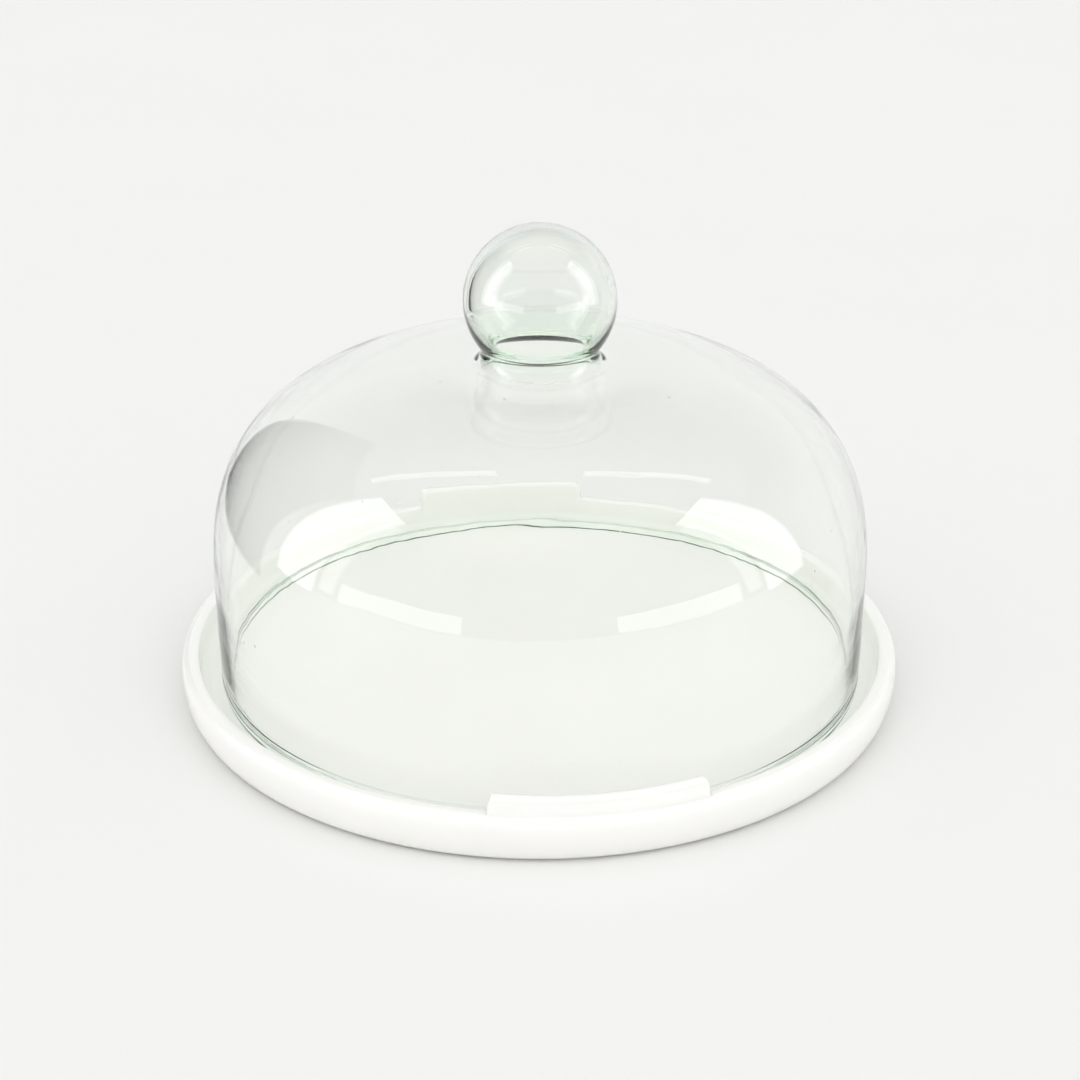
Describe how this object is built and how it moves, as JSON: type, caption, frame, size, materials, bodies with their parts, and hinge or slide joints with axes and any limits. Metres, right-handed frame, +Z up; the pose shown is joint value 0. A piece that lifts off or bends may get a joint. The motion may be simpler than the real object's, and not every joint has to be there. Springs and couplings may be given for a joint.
{
  "type": "domed cake server",
  "caption": "Round glazed tray with a rounded rim and opposite rim handles, under a lift-off blown-glass bell with a hollow ball knob.",
  "frame": {"origin": "centre of the tray's foot on the surface it stands on", "axes": "+Z up along the axis of the tray and bell; the two rim handles are on -Y and +Y"},
  "size_m": [0.3, 0.3, 0.1973],
  "materials": {
    "white_glaze": "satin gloss",
    "bell_glass": "polished, faint green",
    "collar_glass": "polished, bottle green",
    "ball_glass": "polished, faint green"
  },
  "bodies": {
    "tray": {"serving_tray": "white_glaze"},
    "lid": {"bell_dome": "bell_glass", "knob_collar": "collar_glass", "knob_ball": "ball_glass"}
  },
  "joints": [
    {"name": "lid_lift", "type": "slide", "parent": "tray", "child": "lid", "axis": [0, 0, 1], "range_m": [0, 0.22]}
  ]
}
